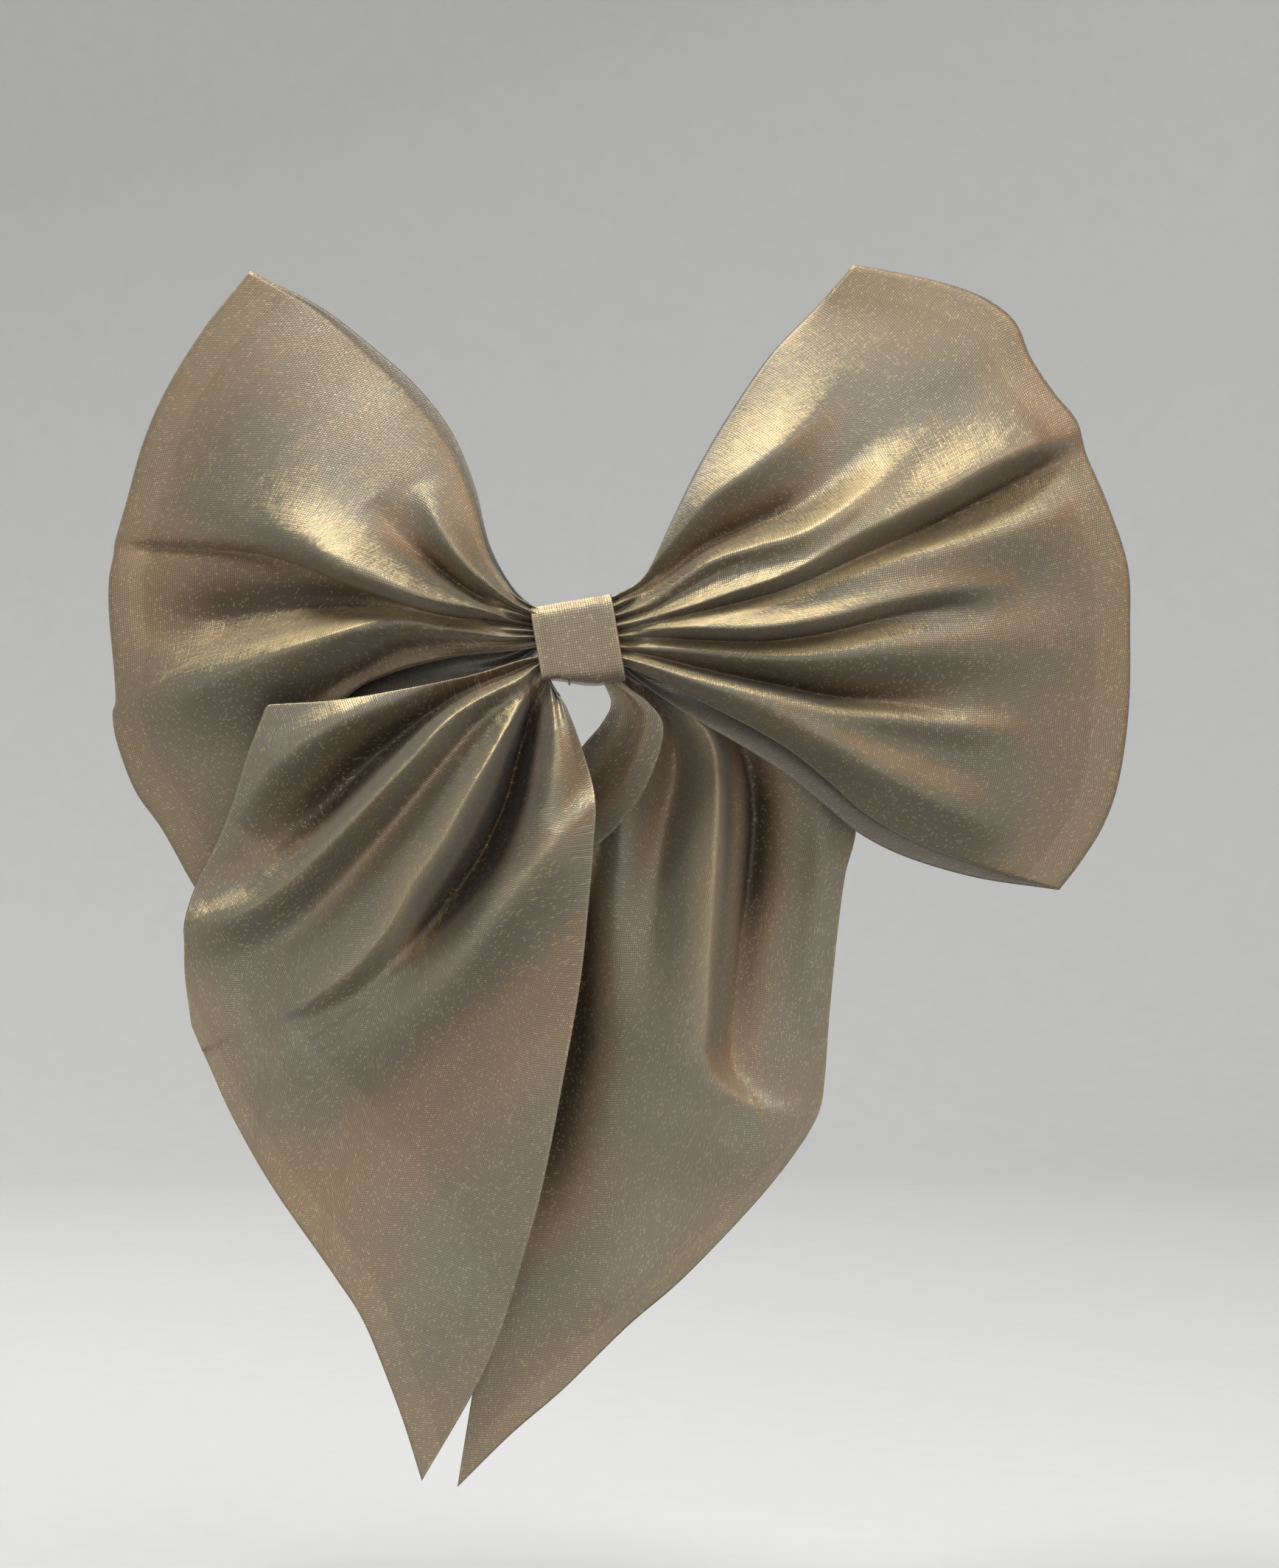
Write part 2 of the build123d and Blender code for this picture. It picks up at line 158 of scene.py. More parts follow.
def ripples(places, seed, amount, length):
    """Slight unevenness of handled cloth: a few crossing waves, the same on each run."""
    random = np.random.default_rng(seed)
    total = np.zeros(places.shape[:-1])
    for _ in range(7):
        angle, phase = random.uniform(0, math.pi), random.uniform(0, 2 * math.pi)
        pitch = length * random.uniform(0.6, 1.6)
        wave = places[..., 0] * math.cos(angle) + places[..., 1] * math.sin(angle)
        total += np.sin(2 * math.pi * wave / pitch + phase)
    return amount * total / 7


def gathers(places, v, count, amount, reach, phase=0.0):
    """Fine pleats that the thread pulls up next to the knot."""
    distance = np.hypot(places[..., 0], places[..., 1]) - GATHER_START
    fade = np.exp(-np.clip(distance, 0, None) / reach)
    return amount * fade * np.cos(2 * math.pi * count * v + phase)


# ---------------------------------------------------------------- mesh
def with_depth(places, depth):
    return np.stack([places[..., 0], depth, places[..., 1]], -1)


def running_length(grid, axis):
    steps = np.linalg.norm(np.diff(grid, axis=axis), axis=-1)
    zero = np.zeros_like(np.take(steps, [0], axis=axis))
    return np.concatenate([zero, np.cumsum(steps, axis=axis)], axis=axis)


def grid_faces(rows, columns, first=0, flip=False):
    index = first + np.arange(rows * columns).reshape(rows, columns)
    quads = np.stack([index[:-1, :-1], index[1:, :-1], index[1:, 1:], index[:-1, 1:]], -1)
    quads = quads.reshape(-1, 4)
    return quads[:, ::-1] if flip else quads


def new_object(name, points, faces, material):
    mesh = bpy.data.meshes.new(name)
    mesh.from_pydata((np.asarray(points) * MM).tolist(), [], [list(map(int, f)) for f in faces])
    mesh.validate()
    mesh.shade_smooth()
    piece = bpy.data.objects.new(name, mesh)
    bpy.context.collection.objects.link(piece)
    mesh.materials.append(material)
    return piece


def ring_faces(rings, sides):
    """Faces that join each ring of points to the next."""
    faces = []
    for ring in range(rings - 1):
        for k in range(sides):
            ahead = (k + 1) % sides
            faces.append([ring * sides + k, ring * sides + ahead,
                          (ring + 1) * sides + ahead, (ring + 1) * sides + k])
    return faces


def mark_cloth(piece, weave, rim, hem, relief):
    """Give each point its place in the weave, its edge distances and its height in the folds, which
    the cloth finish turns into painted highlight and painted shade.
    """
    layer = piece.data.uv_layers.new(name="weave")
    loops = np.zeros(len(piece.data.loops), dtype=int)
    piece.data.loops.foreach_get("vertex_index", loops)
    layer.data.foreach_set("uv", weave[loops].reshape(-1))
    for label, values in (("rim", rim), ("hem", hem), ("relief", relief)):
        attribute = piece.data.attributes.new(label, "FLOAT", "POINT")
        attribute.data.foreach_set("value", values.reshape(-1))


def cloth_piece(name, patches, outside, inside, facing):
    """One sheet of cloth from patches of (grid, end distance, relief of the folds).

    facing is -1 for a right side that looks to the front and 1 for one that looks to the back.
    """
    points, faces, weave, rim, hem, relief = [], [], [], [], [], []
    count = 0
    for grid, hem_distance, fold_height in patches:
        rows, columns = grid.shape[:2]
        along, across = running_length(grid, 0), running_length(grid, 1)
        middle = across - across[:, columns // 2][:, None]
        weave.append(np.stack([along, middle], -1).reshape(-1, 2))
        rim.append(np.minimum(across, across[:, -1:] - across).reshape(-1))
        hem.append(hem_distance.reshape(-1))
        relief.append(fold_height.reshape(-1))
        normal = np.cross(grid[rows // 2 + 1, columns // 2] - grid[rows // 2, columns // 2],
                          grid[rows // 2, columns // 2 + 1] - grid[rows // 2, columns // 2])
        faces.append(grid_faces(rows, columns, count, flip=normal[1] * facing < 0))
        points.append(grid.reshape(-1, 3))
        count += rows * columns
    piece = new_object(name, np.vstack(points), np.vstack(faces), outside)
    piece.data.materials.append(inside)
    mark_cloth(piece, np.vstack(weave), *(np.concatenate(part) for part in (rim, hem, relief)))
    thick = piece.modifiers.new("cloth", "SOLIDIFY")
    thick.thickness = CLOTH * MM
    thick.offset = -1.0
    thick.material_offset = 1
    thick.use_rim = True
    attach(piece, "bow")
    return piece


def surface_of(patches):
    """A tree for finding how far to the front a set of patches lies at a place."""
    points, faces, count = [], [], 0
    for grid, *_ in patches:
        points.append(grid.reshape(-1, 3))
        faces.append(grid_faces(*grid.shape[:2], count))
        count += grid.shape[0] * grid.shape[1]
    return BVHTree.FromPolygons(np.vstack(points).tolist(), np.vstack(faces).tolist())


def spread(values, rounds):
    """Even out a field over a grid, keeping every value at or above what it was."""
    result = values.copy()
    for _ in range(rounds):
        padded = np.pad(result, 1, mode="edge")
        mean = (padded[:-2, 1:-1] + padded[2:, 1:-1] + padded[1:-1, :-2] + padded[1:-1, 2:]) / 4
        result = np.maximum(values, mean)
    return result


def clear_of(grid, tree, gap, side, rounds=60):
    """Push a grid to one side of another surface, front is -1 and back is 1, without a kink."""
    push = np.zeros(grid.shape[:2])
    for place in np.ndindex(*push.shape):
        x, y, z = grid[place]
        origin = Vector((x, -80.0 * -side, z))
        hit = tree.ray_cast(origin, Vector((0, -side, 0)))[0]
        if hit is not None:
            push[place] = max(0.0, (hit.y + side * gap - y) * side)
    moved = grid.copy()
    moved[..., 1] += side * spread(push, rounds)
    return moved


# ---------------------------------------------------------------- loops
ROWS, COLUMNS = 116, 200
LOOP_SWELL = 7.5                  # how far a loop bellies out to the front
# How many times deeper the folds stand than their tables say.
LOOP_FOLD_DEPTH = 1.45
LEFT_TAIL_FOLD_DEPTH = 1.65
RIGHT_TAIL_FOLD_DEPTH = 1.55

LEFT_UPPER = [(-7.5, 5.3), (-12.6, 8.8), (-17.1, 16), (-20.1, 26.7), (-24.7, 37.2), (-31.5, 46.4),
              (-40.7, 55.5), (-51.2, 64.6), (-64.5, 72.5)]
LEFT_OUTER = [(-64.5, 72.5), (-73.3, 61.6), (-80.9, 49.4), (-85.5, 38.8), (-88.9, 26.7),
              (-91.0, 19.5), (-91.3, 17.0), (-92.2, 12.0), (-92.2, 5.4), (-91.2, -5.3),
              (-90.8, -11.5), (-91.4, -14.5), (-90.4, -20.4), (-86.9, -29.5), (-81.6, -37.1),
              (-75.6, -47.8), (-70, -56)]
LEFT_LOWER = [(-7.5, -1.5), (-14, -2.6), (-24, -3.6), (-36.1, -6.7), (-44.5, -11.0), (-54, -22),
              (-62, -38), (-70, -56)]
RIGHT_UPPER = [(7.0, 7.8), (12.6, 11.6), (17.1, 20.5), (23.1, 32.7), (29.3, 43.4), (37.5, 55.5),
               (45.9, 64.6), (53.8, 73.8)]
RIGHT_OUTER = [(53.8, 73.8), (62.6, 72.2), (72.5, 69.9), (80.1, 66.9), (85.5, 62.4),
               (88.5, 55.5), (93, 48.7), (97.3, 43.4), (98.8, 38.5), (99.8, 35.5), (103.6, 26.7),
               (107.5, 14.6), (107.9, 2.3), (107.7, -12.8), (105.9, -26.5), (102.9, -35.7),
               (98.3, -43.2), (94, -48.8)]
RIGHT_LOWER = [(7.5, -4.8), (14.0, -7.6), (21.7, -11.3), (33.8, -17.4), (41.4, -22), (48.9, -28),
               (55.1, -33.4), (64.2, -38.7), (77.9, -44), (94, -48.8)]

# Each fold: path from the knot, heights along it, width above, width below, sharpness.
LEFT_FOLDS = [
    ([(-8, 4.2), (-20, 5.4), (-30, 7.4), (-43.5, 12.6), (-54, 18.8), (-66, 24), (-78, 30)],
     [1.2, 3.0, 4.6, 4.6, 3.0, 1.2, 0.0], (1.3, 13), (0.8, 5.0), 1.5),
    ([(-8, 2.2), (-20.7, 3.7), (-30, 5.6), (-43.5, 10.2), (-54, 14.2), (-66, 17.0), (-91, 18.6)],
     [-1.0, -2.6, -3.0, -2.6, -2.2, -1.8, -1.2], (0.8, 1.6), (1.4, 7.0), 1.2),
    ([(-12, 1.8), (-30, 3.6), (-50, 6.2), (-70, 5.5), (-88, 3.5)],
     [-0.5, -2.2, -3.6, -3.0, -0.5], (1.5, 8), (1.5, 8), 2.0),
    ([(-8, 0.8), (-22, 1.6), (-36.1, 3.4), (-51.2, -1.0), (-74, -8.6), (-91, -12.6)],
     [1.0, 2.6, 4.4, 4.2, 2.8, 1.2], (1.2, 6.5), (1.0, 9.0), 1.5),
    ([(-12, -1.4), (-26, -1.2), (-38, -3.2), (-52, -14), (-66, -30)],
     [-0.8, -2.4, -2.6, -1.6, 0.0], (1.0, 6), (1.2, 8), 2.0),
    ([(-9, 4.0), (-19.5, 8.3), (-28.5, 14.6), (-34, 19.8), (-39, 27)],
     [-1.2, -3.6, -3.6, -1.6, 0.0], (1.0, 4.5), (1.2, 3.5), 1.6),
    ([(-9, 5.0), (-15.2, 8.3), (-21.0, 13.2), (-26.2, 20.5), (-30, 30)],
     [0.6, 2.0, 2.8, 1.6, 0.0], (1.2, 4.5), (1.0, 3.5), 1.6),
    ([(-30, -8), (-44, -12), (-56, -22), (-66, -38)],
     [0.5, 2.2, 1.8, 0.5], (3, 6), (3, 6), 2.0),
]
RIGHT_FOLDS = [
    ([(8, 7.4), (13.8, 13.4), (19, 20), (25, 26.8), (33.5, 32.8), (42, 40), (54, 55)],
     [0.8, 2.0, 2.8, 2.8, 2.2, 1.2, 0.0], (2.0, 12), (1.2, 5.5), 1.7),
    ([(9, 6.0), (17, 12.0), (24, 17.2), (34, 21.5), (46, 27), (58, 36)],
     [-0.8, -2.4, -3.6, -3.4, -1.8, 0.0], (1.0, 6), (1.0, 5), 1.7),
    ([(8, 5.0), (15, 8.2), (25, 14.4), (34, 17.4), (44, 20.6), (58, 31), (70, 43)],
     [0.8, 2.2, 3.4, 4.0, 3.2, 1.2, 0.0], (1.2, 6), (1.2, 5), 1.7),
    ([(8, 2.6), (20, 5.2), (31.8, 9.0), (42, 12.8), (52.4, 18.8), (67.8, 26.6), (81.5, 34.2),
      (97, 40.5)],
     [0.8, 2.0, 3.2, 4.2, 5.2, 5.2, 4.2, 1.5], (1.2, 13), (0.8, 2.6), 1.4),
    ([(10, 2.0), (31.8, 6.8), (42, 10.0), (54, 15.4), (68, 22.0), (82, 29.5), (97, 37.0)],
     [-0.8, -1.8, -2.8, -3.6, -4.0, -3.2, -0.8], (0.7, 2.2), (1.2, 4.0), 1.4),
    ([(10, 1.6), (30, 5.0), (47.2, 11.5), (59.2, 15.6), (72, 18.2), (85, 21.6), (98, 28)],
     [0.6, 1.6, 2.6, 3.2, 3.0, 2.2, 0.4], (1.2, 5), (1.2, 8), 1.7),
    ([(8, 1.2), (20, 1.6), (33.5, 1.4), (47.2, 3.4), (59.2, 6.6), (70, 9.0), (86, 11)],
     [0.8, 2.2, 3.6, 4.2, 3.8, 2.4, 0.0], (1.2, 6.5), (0.7, 3.4), 1.4),
    ([(12, 0.2), (26, -0.5), (36, -0.6), (47.2, 1.0), (59.2, 4.0), (68, 5.6), (80, 7)],
     [-1.0, -3.2, -4.2, -3.8, -2.6, -1.4, 0.0], (0.6, 2.2), (0.9, 4.0), 1.3),
    ([(8, -0.6), (24, -2.6), (42, -3.8), (60, -2.0), (78, -1.0), (98, -1.0)],
     [0.6, 2.2, 3.0, 2.8, 1.8, 0.3], (1.4, 8), (1.4, 8), 2.0),
    ([(10, -2.2), (25, -6.2), (39.5, -9.4), (50.7, -11.6), (62, -12.4), (76, -14.6)],
     [-1.0, -2.6, -3.8, -3.4, -2.0, 0.0], (0.8, 5), (0.7, 2.6), 1.4),
    ([(24, -7.6), (39.5, -11.4), (50.7, -14.2), (62, -15.2), (74, -16.6), (88, -18)],
     [0.5, 2.0, 2.4, 2.2, 1.8, 0.0], (1.0, 3.0), (1.2, 6), 1.6),
    ([(9, -3.6), (22, -8.6), (34, -13.2), (47.2, -19.8), (59.2, -26.5), (72, -32.5), (86, -37)],
     [0.8, 2.4, 3.6, 4.0, 3.4, 2.2, 0.0], (1.4, 8), (1.2, 6), 1.9),
]


def loop_grid(edges, table, seed):
    places, u, v = fan(*edges, ROWS, COLUMNS)
    swell = LOOP_SWELL * np.sin(math.pi * u ** 0.9) * np.sin(math.pi * v) ** 0.6
    settle = LOOP_NECK_Y + (LOOP_END_Y - LOOP_NECK_Y) * ease(u) ** 0.85
    front = LOOP_FOLD_DEPTH * folds(places, table) * (1 - 0.75 * ease((u - 0.9) / 0.1))
    fine = gathers(places, v, 6.5, 1.1, 9, 0.6) + ripples(places, seed, 0.5, 32)
    turned = 0.45 * np.clip((u - 0.985) / 0.015, 0, 1) ** 2
    depth = settle - swell - front - fine * np.clip((1 - u) * 8, 0, 1) + turned
    return with_depth(places, depth), front


def back_grid(edges, front, seed, drop, lift):
    """The back layer shares the outer seam; its long edges lie a little outside the front's."""
    upper, outer, lower = edges
    upper = [(x, z + lift * math.sin(math.pi * k / (len(upper) - 1)))
             for k, (x, z) in enumerate(upper)]
    lower = [(x, z - drop * math.sin(math.pi * k / (len(lower) - 1)) ** 0.7)
             for k, (x, z) in enumerate(lower)]
    places, u, v = fan(upper, outer, lower, ROWS, COLUMNS)
    settle = BACK_NECK_Y + (BACK_END_Y - BACK_NECK_Y) * ease(u * 1.15) ** 0.8
    fine = gathers(places, v, 5.5, 1.0, 16, 2.0) + ripples(places, seed, 0.7, 40)
    radial = 1.6 * np.sin(2 * math.pi * 3.2 * v + 0.8) * np.sin(math.pi * u) ** 1.2
    depth = settle - (fine + radial) * np.clip((1 - u) * 6, 0, 1)
    return clear_of(with_depth(places, depth), front, LAYER_GAP, 1), -(fine + radial)


def hem_of(grid):
    """Distance of each point from the far end of its patch."""
    along = running_length(grid, 0)
    return along[-1:] - along


def both_loops(left, right, left_relief, right_relief):
    """Left and right fans as one sheet that passes through the knot."""
    whole = np.concatenate([left[::-1], right], axis=0)
    hem = np.concatenate([hem_of(left)[::-1], hem_of(right)], axis=0)
    return [(whole, hem, np.concatenate([left_relief[::-1], right_relief], axis=0))]


left_edges = (LEFT_UPPER, LEFT_OUTER, LEFT_LOWER)
right_edges = (RIGHT_UPPER, RIGHT_OUTER, RIGHT_LOWER)
left_front, left_relief = loop_grid(left_edges, LEFT_FOLDS, 3)
right_front, right_relief = loop_grid(right_edges, RIGHT_FOLDS, 8)
front_patches = both_loops(left_front, right_front, left_relief, right_relief)
front_tree = surface_of(front_patches)
left_back, left_back_relief = back_grid(left_edges, front_tree, 21, 6.0, 3.2)
right_back, right_back_relief = back_grid(right_edges, front_tree, 34, 5.0, 0.6)
back_patches = both_loops(left_back, right_back, left_back_relief, right_back_relief)
back_tree = surface_of(back_patches)


# ---------------------------------------------------------------- tails
LEFT_TOP = [(-5, -3.8), (-10, -4.2), (-20.8, -7.4), (-36.1, -10.4), (-46.7, -12.0), (-56, -12.6),
            (-59.4, -12.9), (-60.4, -14.5), (-63.4, -22), (-66.5, -31.1), (-70.2, -39.4),
            (-74.6, -47.8), (-76.6, -54.4), (-76.8, -59), (-76.8, -66), (-75.6, -75.1)]
LEFT_CUT = [(-75.6, -75.1), (-72.2, -82.8), (-66.5, -94.9), (-58.8, -108.5), (-47.8, -124),
            (-41.4, -134.1), (-35.1, -150.1), (-30.7, -164.1)]
LEFT_INNER = [(-5, -6.0), (-5.8, -7.6), (-4.6, -9.8), (-2.0, -13.6), (1.1, -22), (3.4, -31.1),
              (3.0, -40.2), (2.1, -50.8), (0.4, -66.1), (-3.9, -90.2), (-6.4, -102.9), (-9, -113.7),
              (-15.3, -134.7), (-21.1, -147.6), (-30.7, -164.1)]
RIGHT_SIDE = [(3, -4.6), (10.5, -5.2), (20, -8.2), (33, -12.5), (46, -18), (54.4, -28),
              (54.2, -38), (52.1, -46.2), (50.5, -58.4), (49.2, -72.1), (48.2, -85.8),
              (47.2, -92.0), (44.6, -97.2)]
RIGHT_CUT = [(44.6, -97.2), (39.2, -104.6), (32.0, -113), (20.1, -125.3), (9.6, -134.4),
             (-2.7, -146.5), (-13.3, -155.7), (-24, -166.2)]
RIGHT_INNER = [(3, -7.2), (7.2, -10.0), (7.0, -14.0), (4.4, -18.4), (0.6, -23.0), (-4, -31),
               (-8, -46), (-11, -66), (-14.5, -96), (-19, -134), (-24, -166.2)]
LEFT_TAIL_FOLDS = [
    ([(-7, -5.8), (-22.4, -14.1), (-32.1, -24), (-39.8, -31.7), (-47.5, -39.2), (-56.2, -46.9),
      (-65, -52.4), (-76.5, -54.8)],
     [0.8, 3.0, 4.4, 4.8, 4.6, 4.2, 3.4, 1.6], (1.0, 4.5), (1.4, 9.0), 1.4),
    ([(-9, -5.2), (-24, -11.8), (-38, -22), (-50, -34), (-62, -44)],
     [-0.8, -3.0, -4.2, -3.4, -1.0], (1.2, 8), (1.0, 5.0), 1.8),
    ([(-30, -11.0), (-45, -16), (-58, -24), (-66, -36)],
     [0.6, 2.4, 2.4, 0.4], (3, 6), (3, 6), 2.0),
    ([(-8, -8), (-15.8, -22), (-21.3, -31.4), (-25.5, -39), (-31.1, -47.2), (-36, -56),
      (-43, -63.6), (-52, -69.5), (-63, -75)],
     [0.8, 4.0, 5.6, 6.0, 5.8, 5.2, 4.2, 2.6, 0.6], (1.6, 8.0), (1.0, 4.2), 1.5),
    ([(-18, -14), (-30, -28), (-42, -42), (-54, -54), (-66, -62)],
     [-0.8, -2.2, -2.6, -1.8, -0.4], (2, 6), (2, 6), 2.0),
    ([(-7.6, -7.6), (-11.2, -20), (-14.4, -31.7), (-19.5, -42.5), (-26.5, -52.4), (-35.2, -62.4),
      (-44, -70), (-56, -77)],
     [-1.5, -5.5, -6.6, -6.2, -5.0, -3.2, -1.6, 0.0], (1.4, 4.6), (2.8, 8.5), 1.7),
    ([(-5, -8.6), (-3.9, -16), (-4.2, -25), (-6.2, -34), (-12, -43)],
     [1.0, 3.4, 4.0, 3.0, 1.0], (2.2, 4.5), (3.0, 6.0), 2.0),
    ([(2.0, -33), (-4.9, -40.4), (-13.6, -48), (-22.4, -55.5), (-31.1, -62), (-42, -70),
      (-53, -77.5), (-68, -88)],
     [2.0, 3.0, 3.4, 3.2, 3.0, 2.6, 1.8, 0.6], (3.0, 4.5), (7, 12), 1.8),
    ([(0, -62), (-20, -78), (-40, -96), (-56, -112)],
     [-1.0, -1.2, -1.0, -0.4], (9, 9), (12, 12), 2.0),
    ([(-8, -112), (-20, -122), (-34, -136), (-40, -140)],
     [0.6, 1.0, 1.0, 0.6], (9, 9), (9, 9), 2.0),
]
RIGHT_TAIL_FOLDS = [
    ([(9.4, -6.6), (16.0, -9.6), (22.6, -14.6), (26.2, -20), (27.2, -28), (26.6, -42.5),
      (25.4, -60), (24.8, -73.2), (24.4, -81), (27.4, -87.2), (35.2, -91.8), (45, -94)],
     [1.0, 4.6, 6.4, 7.0, 7.0, 6.6, 5.6, 4.6, 3.8, 2.8, 1.6, 0.3], (0.9, 3.4), (2.6, 13.0), 1.6),
    ([(6, -34), (1.5, -52), (-2, -74), (-7, -98), (-12, -120)],
     [-1.0, -4.0, -4.4, -3.2, -0.8], (2.5, 7), (3, 9), 1.8),
    ([(12, -9.5), (17.5, -16), (19.0, -26), (16.5, -40), (14.5, -58), (13, -76)],
     [-1.0, -1.8, -1.8, -1.2, -0.6, 0.0], (2.0, 5), (2.0, 6), 1.9),
    ([(9, -10), (10.0, -22), (7.5, -36), (3.0, -54), (-1, -80)],
     [0.8, 1.8, 1.8, 1.0, 0.0], (2.4, 6), (2.4, 7), 2.0),
    ([(31, -18), (33.5, -27), (34.0, -38), (32.0, -58), (30.0, -80), (33, -87)],
     [-1.5, -3.6, -3.4, -2.0, -1.4, -0.4], (4.5, 5), (1.4, 1.6), 1.8),
    ([(47, -26), (48, -42), (46, -60), (44, -78)],
     [0.4, 1.4, 1.2, 0.2], (4, 4), (5, 6), 2.0),
    ([(20, -96), (30, -100), (40, -100)],
     [0.6, 1.0, 0.4], (6, 6), (8, 8), 2.0),
    ([(-6, -128), (8, -126), (24, -118)],
     [0.8, 1.0, 0.5], (8, 8), (7, 7), 2.0),
]
LEAF_NEAR = [(6.5, -6.6), (9.6, -9.4), (13.4, -12.2), (16.3, -16.2), (15.6, -22), (12.6, -29.5),
             (9.2, -34.5), (4.0, -39.5), (-1, -42)]
LEAF_FAR = [(4.4, -7.6), (6.4, -12.4), (4.6, -16.4), (1.4, -20.0), (-2.0, -24), (-4, -29)]
LEAF_END = [(-1, -42), (-3, -36), (-4, -29)]


def left_tail_grid():
    places, u, v = fan(LEFT_TOP, LEFT_CUT, LEFT_INNER, 170, 190)
    settle = LOOP_NECK_Y + 1.0 + (TAIL_END_Y - LOOP_NECK_Y - 1.0) * ease(u * 1.05) ** 1.3
    over_loop = 5.0 * np.sin(math.pi * np.clip(u * 1.3, 0, 1))
    fine = gathers(places, v, 4.5, 1.2, 9, 0.3) + ripples(places, 55, 0.55, 38)
    relief = LEFT_TAIL_FOLD_DEPTH * folds(places, LEFT_TAIL_FOLDS) * np.clip(u * 14, 0, 1)
    return with_depth(places, settle - over_loop - relief - fine), relief


def right_tail_grid():
    places, u, v = fan(RIGHT_SIDE, RIGHT_CUT, RIGHT_INNER, 170, 150)
    start = BAND_MIDDLE[1] + 1.0
    settle = start + (HANG_Y - start) * ease(u * 3.2)
    fine = gathers(places, v, 3.5, 0.9, 8, 1.0) + ripples(places, 67, 0.5, 36)
    relief = RIGHT_TAIL_FOLD_DEPTH * folds(places, RIGHT_TAIL_FOLDS) * np.clip(u * 14, 0, 1)
    return with_depth(places, settle - relief - fine), relief


def leaf_grid():
    """The curled inner pleat of the right tail, under the knot."""
    places, u, v = fan(LEAF_NEAR, LEAF_END, LEAF_FAR, 60, 40)
    roll = 2.4 * np.sin(math.pi * v ** 0.8) * np.sin(math.pi * np.clip(u * 1.2, 0, 1)) ** 0.7
    crease = 1.0 * np.exp(-((v - 0.45) / 0.12) ** 2) * np.sin(math.pi * u)
    start = BAND_MIDDLE[1] - 3.0
    curl = 2.2 * np.abs(2 * v - 1) ** 2.5 * np.sin(math.pi * np.clip(u * 1.1, 0, 1))
    depth = start + (HANG_Y - 4.0 - start) * ease(u) - roll - curl + crease
    # The relief handed back is made up for the paint, not the leaf's shape: high at the edges for a
    # painted highlight, low in the middle for painted shade.
    return with_depth(places, depth), 8.0 * np.abs(2 * v - 1) ** 2 - 2.6 + 0 * u


right_tail, right_tail_relief = right_tail_grid()
right_tail = clear_of(right_tail, back_tree, TAIL_GAP, 1)
right_patches = [(right_tail, hem_of(right_tail), right_tail_relief)]
leaf, leaf_relief = leaf_grid()
leaf = clear_of(leaf, surface_of(right_patches), PLEAT_GAP, -1, 20)
right_patches.append((leaf, hem_of(leaf) + FAR_FROM_HEM, leaf_relief))
left_tail, left_tail_relief = left_tail_grid()
left_tail = clear_of(left_tail, front_tree, TAIL_GAP, -1, 80)
left_tail = clear_of(left_tail, surface_of(right_patches), TAIL_GAP, -1, 80)
left_patches = [(left_tail, hem_of(left_tail), left_tail_relief)]


# ---------------------------------------------------------------- finishes
def paint(red, green, blue):
    """A colour written as it looks on a screen, as the shader wants it."""
    def linear(part):
        return part / 12.92 if part <= 0.04045 else ((part + 0.055) / 1.055) ** 2.4
    return (linear(red), linear(green), linear(blue), 1.0)


def give(tree, socket, value):
    if isinstance(value, bpy.types.NodeSocket):
        tree.links.new(value, socket)
    else:
        socket.default_value = value


def calc(tree, operation, a, b=0.0, clamp=False):
    made = tree.nodes.new("ShaderNodeMath")
    made.operation = operation
    made.use_clamp = clamp
    give(tree, made.inputs[0], a)
    give(tree, made.inputs[1], b)
    return made.outputs[0]


def between(tree, value, low, high, start=0.0, stop=1.0):
    made = tree.nodes.new("ShaderNodeMapRange")
    made.interpolation_type = "SMOOTHSTEP"
    for label, amount in (("Value", value), ("From Min", low), ("From Max", high),
                          ("To Min", start), ("To Max", stop)):
        give(tree, made.inputs[label], amount)
    return made.outputs[0]


def mix(tree, share, first, second, way="MIX"):
    made = tree.nodes.new("ShaderNodeMix")
    made.data_type = "RGBA"
    made.blend_type = way
    for index, value in ((0, share), (6, first), (7, second)):
        give(tree, made.inputs[index], value)
    return made.outputs[2]


def chosen(tree, share, first, second):
    made = tree.nodes.new("ShaderNodeMix")
    for index, value in ((0, share), (2, first), (3, second)):
        give(tree, made.inputs[index], value)
    return made.outputs[0]


def toward(tree, normal, direction):
    """How much a surface faces a fixed direction of the bow."""
    made = tree.nodes.new("ShaderNodeVectorMath")
    made.operation = "DOT_PRODUCT"
    give(tree, made.inputs[0], normal)
    made.inputs[1].default_value = Vector(direction).normalized()
    return made.outputs["Value"]


def noise(tree, place, scale, detail=2.0, stretch=(1, 1, 1)):
    spread_out = tree.nodes.new("ShaderNodeVectorMath")
    spread_out.operation = "MULTIPLY"
    give(tree, spread_out.inputs[0], place)
    spread_out.inputs[1].default_value = stretch
    made = tree.nodes.new("ShaderNodeTexNoise")
    made.inputs["Scale"].default_value = scale
    made.inputs["Detail"].default_value = detail
    tree.links.new(spread_out.outputs[0], made.inputs["Vector"])
    return made.outputs[0]


def new_group(name, inputs, outputs):
    tree = bpy.data.node_groups.new(name, "ShaderNodeTree")
    for label, kind in inputs:
        tree.interface.new_socket(label, in_out="INPUT", socket_type=f"NodeSocket{kind}")
    for label, kind in outputs:
        tree.interface.new_socket(label, in_out="OUTPUT", socket_type=f"NodeSocket{kind}")
    return tree, tree.nodes.new("NodeGroupInput").outputs, tree.nodes.new("NodeGroupOutput").inputs


